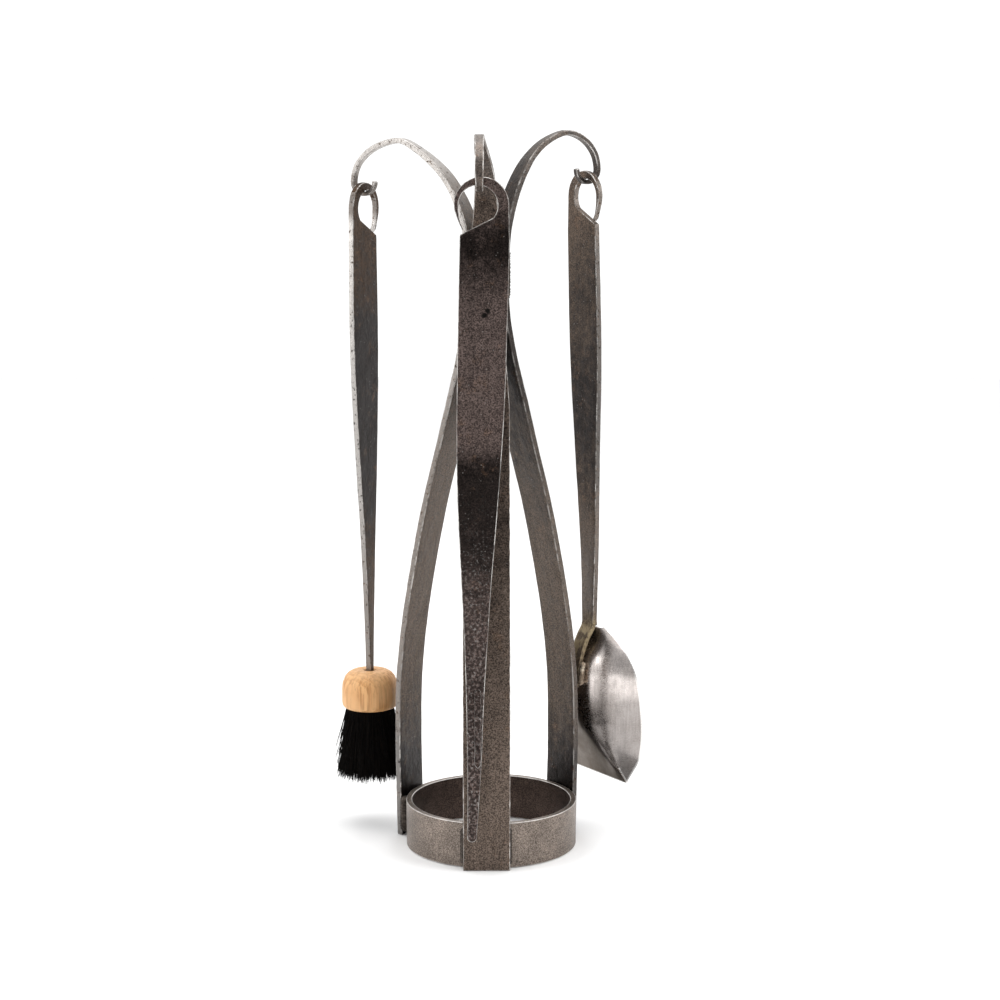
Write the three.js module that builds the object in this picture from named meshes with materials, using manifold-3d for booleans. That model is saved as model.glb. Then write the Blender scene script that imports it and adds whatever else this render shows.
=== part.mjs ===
// Fireplace tool set: a three-legged stand forged from flat bar, with a poker, a brush and a shovel
// hanging from its hooks. Millimetres, +Z up, the poker's side of the stand faces -Y.

import * as THREE from "three";
import { mergeVertices } from "three/addons/utils/BufferGeometryUtils.js";
import Module from "manifold-3d";

const wasm = await Module();
wasm.setup();

// Stock and clearances
const BAR_WIDTH = 40;
const BAR_THICK = 5;
const HOOK_TIP_THICK = 3.6;
const CROOK_SWEEP = 182;
const GAP = 0.3;

// Base ring, rolled from the same flat bar and set a little off the legs' common axis
const RING = { radius: 74.7, height: 39.5, lift: 0.3, x: 4.2, y: -1.5, seamAngle: 100, seamGap: 3.2 };

// Beads between the ring and a leg's edges, and in the grooves between the legs at the neck
const RING_WELD = { inset: 1.5, shorter: 6, bite: 1.7 };
const SEAM_WELD = { proud: 1.4, shorter: 2 };
const NECK_WELD = {
  radius: 4.4,
  length: 44,
  reach: 19.5,
  places: {
    rear: { azimuth: 176.5, aside: 0 },
    left: { azimuth: 59, aside: -1.5 },
    right: { azimuth: -62, aside: -1.5 },
  },
};

// The legs: azimuth in degrees from the front towards the left, widest radius, the hook's sideways drift,
// the rise from the neck to the crown as [radius, height] rows, and the crook that a tool hangs in
const NECK_RADIUS = 11.7;
const NECK_HEIGHT = 500;
const DRIFT_SPAN = [15, 75];
const LEGS = {
  front: {
    azimuth: -0.5,
    bow: 81,
    drift: -5.4,
    rise: [[12.6, 532], [18.5, 556], [29, 580], [41, 594], [57, 605.5]],
    crown: { r: 77, z: 613.5 },
    crook: { r: 105, z: 572.5, radius: 11 },
  },
  left: {
    azimuth: 117,
    bow: 78.3,
    drift: 0,
    rise: [[13, 532], [21.5, 556], [34.5, 578], [46.5, 590.5], [62, 602]],
    crown: { r: 81, z: 611.3 },
    crook: { r: 118.4, z: 566, radius: 10.5 },
  },
  right: {
    azimuth: -124.5,
    bow: 83,
    drift: 0,
    rise: [[15, 532], [22.5, 557], [33, 580], [45.5, 598], [61, 610.5]],
    crown: { r: 82, z: 618.2 },
    crook: { r: 106, z: 576, radius: 11.2 },
  },
};

// Leg side profile from the floor to the neck: share of the widest radius, height
const LEG_PROFILE = [
  [0.98, 0],
  [1, 80],
  [0.985, 140],
  [0.915, 190],
  [0.8, 242],
  [0.64, 300],
  [0.435, 360],
  [0.247, 420],
];

// Share of the widest radius at the ring's height
const WIDEST_AT_RING = 0.99;

// Width and thickness of a leg bar against the distance back from the hook's tip
const LEG_TAPER = [
  [0, 4.8],
  [35, 6.6],
  [95, 8.6],
  [125, 12.5],
  [145, 16.5],
  [165, 18.5],
  [190, 23],
  [220, 28.5],
  [275, 30],
  [345, BAR_WIDTH],
];
const LEG_THICKNESS = [
  [0, HOOK_TIP_THICK],
  [70, 4.4],
  [160, BAR_THICK],
];
const TIP_TO_TROUGH = 20;

// The eye at the top of each tool; its inner top is the tool's origin, resting over the crook
const EYE = {
  outer: { x: 1.7, y: -15.2, radius: 22 },
  inner: { x: -1, y: -15.8, radius: 15.8 },
  outerEnd: 205,
  innerStart: 188,
  innerEnd: -38,
  outerCurl: { x: -16.5, y: -31 },
  innerCurl: { x: -16.6, y: -28 },
  curlTip: { x: -12.2, y: -36.6 },
  shoulder: { x: -15.2, y: -38.9 },
  neckY: -30,
  restGap: 1.2,
};

// Tool blades: left and right edge of the flat face, from the shoulder down
const POKER = {
  left: [[-15.8, -44], [-18.4, -165], [-18.1, -255], [-12.6, -378], [-10.6, -480], [-10.9, -538]],
  right: [[24.3, -44], [20.4, -171], [15.1, -253], [8.5, -336], [3.4, -420], [1, -478], [-2.9, -538]],
  barb: { x: -1.9, width: 5.4, thick: 3, top: -412, tip: -475, reach: 9, tipRadius: 2.7 },
  barbRoute: [[-0.1, 0], [0, 0.3], [0.04, 0.5], [0.4, 0.75], [1, 1]],
  barbThickness: [[0, 3], [44, 3], [63, 1]],
};
const BRUSH = {
  left: [[-15.8, -44], [-17, -139], [-13.9, -228], [-8.7, -317], [-4.3, -409], [-3.9, -446]],
  right: [[24.3, -44], [23.9, -139], [17.1, -228], [8.3, -317], [2.6, -409], [2.2, -446]],
  head: { x: -0.8, radius: 25.3, top: -427, height: 34.5, baseRound: 6, crownRound: 13 },
  bore: { radius: 4.9, depth: 23, bevel: 1 },
  bristles: { root: 21.5, flare: 31.5, length: 63, endRound: 4, flareHeight: 12 },
};
const SHOVEL = {
  left: [[-15.8, -44], [-20.5, -150], [-19.4, -240], [-18.6, -330], [-16.3, -394]],
  right: [[24.3, -44], [20.2, -150], [11.8, -239], [2.5, -329], [-0.3, -394]],
  tongue: [[0, -380], [0, -394], [7, -406], [12.5, -420], [15.4, -434], [16.5, -450]],
  tongueX: -8.3,
  tongueWidths: [[0, 11], [20, 14], [60, 15]],
  tongueThickness: [[0, 3], [50, BAR_THICK]],
  weld: { radius: 3.3, length: 22, lean: 0.14, apart: 15, y: 14.2, z: -437 },
};

// Shovel pan. Keel and rim are depths towards the stand, each by equal steps from the heel down to the lip
const PAN = {
  x: -6,
  heel: -398,
  lip: -533,
  sheet: 2,
  halfWidth: 47.5,
  heelHalfWidth: 6.5,
  heelLength: 0.45,
  keel: [-5, 9.6, 13.3, 10.5, 1, -9],
  rim: [-13, -18.9, -24.2, -28.4, -31.6, -33, -31.6, -25.6, -9.5],
  flatStart: 0.62,
  slope: 0.25,
};

const COLOURS = {
  forged: { color: 0x4b4540, roughness: 0.45, metalness: 0.9 },
  bright: { color: 0xb9b6b2, roughness: 0.25, metalness: 1 },
  weld: { color: 0x5a544e, roughness: 0.55, metalness: 0.85 },
  wood: { color: 0xd9a066, roughness: 0.6, metalness: 0 },
  bristle: { color: 0x0d0c0c, roughness: 0.9, metalness: 0 },
};

const X_AXIS = new THREE.Vector3(1, 0, 0);
const Z_AXIS = new THREE.Vector3(0, 0, 1);
const SEGMENT_STEPS = 4;
const SIDES = { a: -1, b: 1 };

function named(name, geometry, finish) {
  const mesh = new THREE.Mesh(geometry, new THREE.MeshStandardMaterial(COLOURS[finish]));
  mesh.name = name;
  return mesh;
}

// Straight-line look-up in a table of [position, value] rows
function lookUp(table, position) {
  const next = table.findIndex(([key]) => key >= position);
  if (next === -1) return table[table.length - 1][1];
  if (next === 0) return table[0][1];
  const [x0, y0] = table[next - 1];
  const [x1, y1] = table[next];
  return THREE.MathUtils.mapLinear(position, x0, x1, y0, y1);
}

// A smooth curve's value at a share of its length, through values at equal steps
function profile(values, share) {
  const points = values.map((value, index) => new THREE.Vector2(index, value));
  return new THREE.SplineCurve(points).getPoint(share).y;
}

// A box divided across and along, with every corner moved by place(across, along, side), each -0.5..0.5
function warpedBox(across, along, place) {
  const geometry = new THREE.BoxGeometry(1, 1, 1, across, 1, along);
  const position = geometry.attributes.position;
  for (let i = 0; i < position.count; i += 1) {
    const point = place(position.getX(i), position.getZ(i), position.getY(i));
    position.setXYZ(i, point.x, point.y, point.z);
  }
  return outward(geometry);
}

// The same closed geometry with shared corners merged and its faces turned outwards
function outward(geometry) {
  geometry.deleteAttribute("normal");
  geometry.deleteAttribute("uv");
  const merged = mergeVertices(geometry, 1e-5);
  const position = merged.attributes.position;
  const index = merged.index.array;
  const [a, b, c] = [new THREE.Vector3(), new THREE.Vector3(), new THREE.Vector3()];
  let volume = 0;
  for (let i = 0; i < index.length; i += 3) {
    a.fromBufferAttribute(position, index[i]);
    b.fromBufferAttribute(position, index[i + 1]);
    c.fromBufferAttribute(position, index[i + 2]);
    volume += a.dot(b.cross(c));
  }
  if (volume < 0) index.reverse();
  merged.computeVertexNormals();
  return merged;
}

function solid(geometry) {
  const closed = outward(geometry.clone());
  return new wasm.Manifold(
    new wasm.Mesh({
      numProp: 3,
      vertProperties: closed.attributes.position.array,
      triVerts: new Uint32Array(closed.index.array),
    }),
  );
}

function geometryOf(manifold) {
  const mesh = manifold.getMesh();
  const geometry = new THREE.BufferGeometry();
  geometry.setAttribute("position", new THREE.BufferAttribute(mesh.vertProperties, 3));
  geometry.setIndex(new THREE.BufferAttribute(mesh.triVerts, 1));
  geometry.computeVertexNormals();
  return geometry;
}

// A flat bar bent in the YZ plane along a curve, its wide face square to that plane and its first end cut
// level. widthAt and thickAt take the distance back from the curve's end; centreAt is the sideways offset.
function bentBar(curve, steps, { widthAt, thickAt, centreAt = () => 0, grow = 0 }) {
  const points = curve.getPoints(steps);
  const lengths = points.map(() => 0);
  for (let i = steps - 1; i >= 0; i -= 1) {
    lengths[i] = lengths[i + 1] + points[i].distanceTo(points[i + 1]);
  }
  return warpedBox(1, steps, (across, along, side) => {
    const station = Math.round((along + 0.5) * steps);
    const tangent = curve.getTangent(station / steps);
    const normal = new THREE.Vector3().crossVectors(tangent, X_AXIS);
    const back = lengths[station];
    const corner = points[station]
      .clone()
      .addScaledVector(X_AXIS, across * (widthAt(back) + 2 * grow) + centreAt(points[station]))
      .addScaledVector(normal, side * (thickAt(back) + 2 * grow));
    if (station === 0) corner.z = points[0].z - grow * Math.sign(tangent.z);
    if (station === steps) corner.addScaledVector(tangent, grow);
    return corner;
  });
}

// Points of an arc in the (radius, height) plane, angles in degrees from outward, anticlockwise
function arcPoints(centreR, centreZ, sizeR, sizeZ, from, to, count) {
  return Array.from({ length: count }, (_, i) => {
    const angle = THREE.MathUtils.degToRad(from + ((to - from) * (i + 1)) / count);
    return [centreR + sizeR * Math.cos(angle), centreZ + sizeZ * Math.sin(angle)];
  });
}

function legCurve(leg) {
  const { crown, crook } = leg;
  const crookCentreZ = crook.z + crook.radius;
  const [shoulderR, shoulderZ] = [crook.r + crook.radius - crown.r, crown.z - crookCentreZ];
  const route = [
    ...LEG_PROFILE.map(([share, z]) => [share * leg.bow, z]),
    [NECK_RADIUS + 1.6, NECK_HEIGHT - 38],
    [NECK_RADIUS, NECK_HEIGHT],
    ...leg.rise,
    [crown.r, crown.z],
    ...arcPoints(crown.r, crookCentreZ, shoulderR, shoulderZ, 90, 0, 4),
    ...arcPoints(crook.r, crookCentreZ, crook.radius, crook.radius, 0, -CROOK_SWEEP, 7),
  ];
  const points = route.map(([r, z]) => new THREE.Vector3(0, -r, z));
  return new THREE.CatmullRomCurve3(points, false, "centripetal");
}

function legGeometry(leg, grow = 0) {
  const curve = legCurve(leg);
  return bentBar(curve, (curve.points.length - 1) * SEGMENT_STEPS, {
    widthAt: (back) => lookUp(LEG_TAPER, back),
    thickAt: (back) => lookUp(LEG_THICKNESS, back),
    centreAt: ({ y, z }) => (z > NECK_HEIGHT ? leg.drift * THREE.MathUtils.smoothstep(-y, ...DRIFT_SPAN) : 0),
    grow,
  });
}

function turned(geometry, azimuth) {
  return geometry.rotateZ(THREE.MathUtils.degToRad(-azimuth));
}

// The ring as an extruded annulus; grow thickens it on every side
function ringGeometry(grow = 0) {
  const outline = new THREE.Shape().absarc(0, 0, RING.radius + grow, 0, 2 * Math.PI);
  const inside = RING.radius - BAR_THICK - grow;
  outline.holes.push(new THREE.Path().absarc(0, 0, inside, 0, 2 * Math.PI, true));
  const depth = RING.height + 2 * grow;
  const geometry = new THREE.ExtrudeGeometry(outline, { depth, bevelEnabled: false, curveSegments: 72 });
  return geometry.translate(RING.x, RING.y, RING.lift - grow);
}

// A block across the ring's wall where its two ends meet
function seamBlock(width, wall, height, lift) {
  const block = new THREE.BoxGeometry(wall, width, height);
  block.translate(RING.radius - BAR_THICK / 2, 0, lift + height / 2);
  block.rotateZ(THREE.MathUtils.degToRad(RING.seamAngle));
  return block.translate(RING.x, RING.y, 0);
}

function buildRing() {
  const slot = seamBlock(RING.seamGap, 4 * BAR_THICK, 2 * RING.height, -RING.height / 2);
  const ring = solid(ringGeometry()).subtract(solid(slot));
  const beadWidth = RING.seamGap - 2 * GAP;
  const beadHeight = RING.height - SEAM_WELD.shorter;
  const beadLift = RING.lift + SEAM_WELD.shorter / 2;
  const bead = seamBlock(beadWidth, BAR_THICK + SEAM_WELD.proud, beadHeight, beadLift);
  return [named("base_ring", geometryOf(ring), "forged"), named("ring_seam_weld", bead, "weld")];
}

// An upright rod with domed ends, later trimmed by the bars it lies against
function weldRod(radius, height) {
  return new THREE.CapsuleGeometry(radius, height - 2 * radius, 3, 12, 1).rotateX(Math.PI / 2);
}

function buildRingWelds(name, leg) {
  const cutter = solid(turned(legGeometry(leg, GAP), leg.azimuth)).add(solid(ringGeometry(GAP)));
  const ringCentre = new THREE.Vector3(RING.x, RING.y, 0);
  ringCentre.applyAxisAngle(Z_AXIS, THREE.MathUtils.degToRad(leg.azimuth));
  const legFace = leg.bow * WIDEST_AT_RING - BAR_THICK / 2;
  return Object.entries(SIDES).map(([letter, side]) => {
    const across = side * (BAR_WIDTH / 2 - RING_WELD.inset);
    const ringFace = -ringCentre.y + Math.sqrt(RING.radius ** 2 - (across - ringCentre.x) ** 2);
    const radius = (legFace - ringFace) / 2 + RING_WELD.bite;
    const rod = weldRod(radius, RING.height - RING_WELD.shorter);
    rod.translate(across, -(legFace + ringFace) / 2, RING.lift + RING.height / 2);
    const bead = solid(turned(rod, leg.azimuth)).subtract(cutter);
    return named(`ring_weld_${name}_${letter}`, geometryOf(bead), "weld");
  });
}

// Beads in the three grooves where the legs' edges meet at the neck
function buildNeckWelds(legs) {
  const cutter = legs.reduce(
    (joined, leg) => joined.add(solid(turned(legGeometry(leg, GAP), leg.azimuth))),
    solid(turned(legGeometry(legs[0], GAP), legs[0].azimuth)),
  );
  return Object.entries(NECK_WELD.places).map(([name, { azimuth, aside }]) => {
    const rod = weldRod(NECK_WELD.radius, NECK_WELD.length);
    rod.translate(aside, -NECK_WELD.reach, NECK_HEIGHT);
    return named(`neck_weld_${name}`, geometryOf(solid(turned(rod, azimuth)).subtract(cutter)), "weld");
  });
}

// The flat outline of a tool: the curled eye, the sloping shoulder and the blade's two edges
function toolOutline(left, right, roundTip) {
  const { outer, inner, outerCurl, innerCurl, curlTip, shoulder } = EYE;
  const turn = (degrees) => THREE.MathUtils.degToRad(degrees);
  const vectors = (rows) => rows.map(([x, y]) => new THREE.Vector2(x, y));
  const [topLeft, leftEnd] = [left[0], left[left.length - 1]];
  const rightEnd = right[right.length - 1];
  const outerRight = outer.x + outer.radius;
  const shape = new THREE.Shape();
  shape.moveTo(shoulder.x, shoulder.y);
  shape.quadraticCurveTo(topLeft[0], shoulder.y, ...topLeft);
  shape.splineThru(vectors(left.slice(1)));
  if (roundTip) {
    const middle = (leftEnd[0] + rightEnd[0]) / 2;
    const drop = (rightEnd[0] - leftEnd[0]) / 2;
    shape.absellipse(middle, leftEnd[1], drop, drop, Math.PI, 2 * Math.PI, false);
  } else {
    shape.lineTo(...rightEnd);
  }
  shape.splineThru(vectors(right.slice(0, -1).reverse()));
  shape.quadraticCurveTo(outerRight, EYE.neckY, outerRight, outer.y);
  shape.absarc(outer.x, outer.y, outer.radius, 0, turn(EYE.outerEnd));
  shape.quadraticCurveTo(outerCurl.x, outerCurl.y, curlTip.x, curlTip.y);
  const innerStartX = inner.x + inner.radius * Math.cos(turn(EYE.innerStart));
  const innerStartY = inner.y + inner.radius * Math.sin(turn(EYE.innerStart));
  shape.quadraticCurveTo(innerCurl.x, innerCurl.y, innerStartX, innerStartY);
  shape.absarc(inner.x, inner.y, inner.radius, turn(EYE.innerStart), turn(EYE.innerEnd), true);
  shape.lineTo(shoulder.x, shoulder.y);
  return shape;
}

// A tool's bar, its face square to the radius it hangs on, centred on the origin's plane
function toolBar(edges, roundTip = false) {
  const outline = toolOutline(edges.left, edges.right, roundTip);
  const settings = { depth: BAR_THICK, bevelEnabled: false, curveSegments: 8 };
  const geometry = new THREE.ExtrudeGeometry(outline, settings);
  return geometry.rotateX(Math.PI / 2).translate(0, BAR_THICK / 2, 0);
}

function barbGeometry() {
  const { barb, barbRoute, barbThickness } = POKER;
  const faceY = -BAR_THICK / 2 - GAP - barb.thick / 2;
  const route = barbRoute.map(([out, down]) => {
    return new THREE.Vector3(0, faceY - out * barb.reach, THREE.MathUtils.lerp(barb.top, barb.tip, down));
  });
  const roundEnd = (back) => Math.sqrt(Math.max(0.06, 1 - (1 - Math.min(back / barb.tipRadius, 1)) ** 2));
  return bentBar(new THREE.CatmullRomCurve3(route), 24, {
    widthAt: (back) => barb.width * roundEnd(back),
    thickAt: (back) => lookUp(barbThickness, back),
    centreAt: () => barb.x,
  });
}

function buildPoker() {
  return [
    named("poker_bar", outward(toolBar(POKER, true)), "forged"),
    named("poker_barb", barbGeometry(), "forged"),
  ];
}

// The turned wooden head: a flat base with a rounded edge, a domed crown and a bevelled bore for the handle
function brushHead() {
  const { x, radius, height, top, baseRound, crownRound } = BRUSH.head;
  const { bore } = BRUSH;
  const shape = new THREE.Shape();
  shape.moveTo(0, -height);
  shape.lineTo(radius - baseRound, -height);
  shape.quadraticCurveTo(radius, -height, radius, baseRound - height);
  shape.lineTo(radius, -height / 2);
  shape.bezierCurveTo(radius, -baseRound, radius - baseRound, 0, radius - crownRound, 0);
  shape.lineTo(bore.radius + bore.bevel, 0);
  shape.lineTo(bore.radius, -bore.bevel);
  shape.lineTo(bore.radius, -bore.depth);
  shape.lineTo(0, -bore.depth);
  const lathe = new THREE.LatheGeometry(shape.getPoints(5), 36);
  return lathe.rotateX(Math.PI / 2).translate(x, 0, top);
}

function bristleBundle() {
  const { root, flare, length, endRound, flareHeight } = BRUSH.bristles;
  const shape = new THREE.Shape();
  shape.moveTo(0, -length);
  shape.lineTo(flare - endRound, -length);
  shape.quadraticCurveTo(flare, -length, flare, flareHeight - length);
  shape.quadraticCurveTo(flare, 2 * flareHeight - length, root, 0);
  shape.lineTo(0, 0);
  const lathe = new THREE.LatheGeometry(shape.getPoints(5), 32);
  const top = BRUSH.head.top - BRUSH.head.height - GAP;
  return lathe.rotateX(Math.PI / 2).translate(BRUSH.head.x, 0, top);
}

function buildBrush() {
  return [
    named("brush_handle", outward(toolBar(BRUSH)), "forged"),
    named("brush_head", outward(brushHead()), "wood"),
    named("brush_bristles", outward(bristleBundle()), "bristle"),
  ];
}

// The pan's surface: a flat triangle behind the lip, with the cheeks turned up beside and above it
function panPoint(across, down) {
  const spread = 1 - (1 - Math.min(down / PAN.heelLength, 1)) ** 3.4;
  const halfWidth = THREE.MathUtils.lerp(PAN.heelHalfWidth, PAN.halfWidth, spread);
  const keel = profile(PAN.keel, down);
  const rim = profile(PAN.rim, down);
  const flat = Math.min(0.97, Math.max(0, (down - PAN.flatStart) / (1 - PAN.flatStart)));
  const climb = Math.max(0, (Math.abs(across) - flat) / (1 - flat));
  const round = 1 - Math.sqrt(1 - (0.98 * Math.min(climb, 1)) ** 2);
  const lift = THREE.MathUtils.lerp(round, climb, PAN.slope);
  const height = PAN.heel + (PAN.lip - PAN.heel) * down;
  return new THREE.Vector3(PAN.x + across * halfWidth, keel + (rim - keel) * lift, height);
}

function panGeometry(grow = 0) {
  const step = 0.004;
  return warpedBox(24, 24, (across, along, side) => {
    const [a, d] = [2 * across, along + 0.5];
    const point = panPoint(a, d);
    const sideways = panPoint(a + step, d).sub(panPoint(a - step, d));
    const downhill = panPoint(a, Math.min(1, d + step)).sub(panPoint(a, Math.max(0, d - step)));
    const normal = sideways.cross(downhill).normalize();
    return point.addScaledVector(normal, side * (PAN.sheet + 2 * grow));
  });
}

function shovelTongue(grow = 0) {
  const points = SHOVEL.tongue.map(([y, z]) => new THREE.Vector3(0, y, z));
  return bentBar(new THREE.CatmullRomCurve3(points, false, "centripetal"), 25, {
    widthAt: (back) => lookUp(SHOVEL.tongueWidths, back),
    thickAt: (back) => lookUp(SHOVEL.tongueThickness, back),
    centreAt: () => SHOVEL.tongueX,
    grow,
  });
}

function buildShovel() {
  const { weld, tongueX } = SHOVEL;
  const handle = solid(toolBar(SHOVEL)).add(solid(shovelTongue()));
  const cutter = solid(shovelTongue(GAP)).add(solid(panGeometry(GAP)));
  const welds = Object.entries(SIDES).map(([letter, side]) => {
    const rod = weldRod(weld.radius, weld.length).rotateX(weld.lean);
    rod.translate(tongueX + (side * weld.apart) / 2, weld.y, weld.z);
    return named(`shovel_weld_${letter}`, geometryOf(solid(rod).subtract(cutter)), "weld");
  });
  return [
    named("shovel_handle", geometryOf(handle), "forged"),
    named("shovel_pan", panGeometry(), "bright"),
    ...welds,
  ];
}

// A tool hung on a leg's crook
function hang(pieces, leg) {
  const tool = new THREE.Group();
  tool.add(...pieces);
  const troughZ = leg.crook.z + lookUp(LEG_THICKNESS, TIP_TO_TROUGH) / 2;
  tool.position.set(leg.drift, -leg.crook.r, troughZ + EYE.restGap);
  const swing = new THREE.Group();
  swing.add(tool);
  swing.rotation.z = THREE.MathUtils.degToRad(-leg.azimuth);
  return swing;
}

function buildStand() {
  const stand = new THREE.Group();
  for (const [name, leg] of Object.entries(LEGS)) {
    stand.add(named(`leg_hook_${name}`, turned(legGeometry(leg), leg.azimuth), "forged"));
    stand.add(...buildRingWelds(name, leg));
  }
  stand.add(...buildRing(), ...buildNeckWelds(Object.values(LEGS)));
  return stand;
}

// Everything, moved so that the origin is under the middle of the whole set, on the floor
function buildSet() {
  const set = new THREE.Group();
  set.add(buildStand());
  set.add(hang(buildPoker(), LEGS.front));
  set.add(hang(buildBrush(), LEGS.left));
  set.add(hang(buildShovel(), LEGS.right));
  set.updateMatrixWorld(true);
  const box = new THREE.Box3().setFromObject(set, true);
  const centre = box.getCenter(new THREE.Vector3());
  set.position.set(-centre.x, -centre.y, -box.min.z);
  return set;
}

export default buildSet();
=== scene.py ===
"""Fireplace tool set: a forged three-legged stand with a poker, a brush and a shovel on its hooks.

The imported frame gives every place. Each sub-assembly is a class that shapes its pieces from the frame's
nodes, or models them afresh, and dresses them in one of the finishes. Metres, +Z up.
"""

import logging
import math
import random
from collections.abc import Callable, Sequence
from dataclasses import dataclass, field, replace
from enum import Enum

import bmesh
import bpy
from mathutils import Matrix, Vector, noise


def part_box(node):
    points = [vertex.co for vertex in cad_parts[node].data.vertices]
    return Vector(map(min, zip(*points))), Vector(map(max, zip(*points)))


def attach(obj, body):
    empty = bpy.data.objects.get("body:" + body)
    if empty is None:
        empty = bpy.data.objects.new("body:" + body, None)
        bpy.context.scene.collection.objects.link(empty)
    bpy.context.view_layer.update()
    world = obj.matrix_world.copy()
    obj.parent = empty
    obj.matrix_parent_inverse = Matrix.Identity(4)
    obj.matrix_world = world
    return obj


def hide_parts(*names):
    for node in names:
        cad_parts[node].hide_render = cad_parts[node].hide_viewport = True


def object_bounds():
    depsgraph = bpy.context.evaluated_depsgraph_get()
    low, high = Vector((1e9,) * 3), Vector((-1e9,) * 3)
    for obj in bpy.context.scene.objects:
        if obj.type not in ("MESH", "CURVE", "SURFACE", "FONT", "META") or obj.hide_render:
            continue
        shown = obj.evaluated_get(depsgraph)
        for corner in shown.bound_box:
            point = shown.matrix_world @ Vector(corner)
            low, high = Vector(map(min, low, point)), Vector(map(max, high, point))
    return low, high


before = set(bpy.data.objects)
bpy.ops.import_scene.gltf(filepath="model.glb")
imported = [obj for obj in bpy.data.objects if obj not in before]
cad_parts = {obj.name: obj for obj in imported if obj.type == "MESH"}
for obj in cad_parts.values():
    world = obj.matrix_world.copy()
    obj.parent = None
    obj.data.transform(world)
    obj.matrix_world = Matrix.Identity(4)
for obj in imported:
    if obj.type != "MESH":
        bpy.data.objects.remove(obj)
cad_low, cad_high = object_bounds()

log = logging.getLogger("fireplace_tool_set")

Colour = tuple[float, float, float]
Place = tuple[float, float, float]
HeightRows = tuple[tuple[float, float], ...]
Socket = bpy.types.NodeSocket

# Corners nearer than this are one corner
MERGE_DISTANCE = 1e-6
# Neighbouring faces that turn less than this are one flat face, and edges that turn more are sharp
FLAT_ANGLE = math.radians(0.3)
SHARP_ANGLE = math.radians(35)
# A face counts as the bar's narrow side when its normal lies this much along the bar's width
SIDE_SLOPE = 0.8
# The height that a finish's rows of heights are shared out over, and the height of the top row
HEIGHT_SPAN = 0.64
TOP_ROW = 0.63
# Turning by this much from strand to strand spreads them evenly
GOLDEN_ANGLE = math.pi * (3 - math.sqrt(5))
# How far the floor lies under the object
FLOOR_GAP = 0.0002
UP = Vector((0, 0, 1))
# Values that the meshes carry for their finishes
# Rounded edges, which the finishes paint bright: painted highlight, partly wear
EDGE_WEAR_AND_HIGHLIGHT = "edge_wear_and_highlight"
NARROW_SIDE = "narrow_side"
INNER_FACE = "inner_face"
LIP_FLAT = "lip_flat"
RANGE_SOCKETS = ("From Min", "From Max", "To Min", "To Max")


class Body(Enum):
    """The four bodies that pieces ride on."""

    STAND = "stand"
    POKER = "poker"
    BRUSH = "brush"
    SHOVEL = "shovel"


class Slot(Enum):
    """The names of the material slots."""

    FORGED = "forged_bar"
    WELD = "weld_bead"
    PAN = "pan_steel"
    WOOD = "head_wood"
    BRISTLE = "bristle_fibre"


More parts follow.
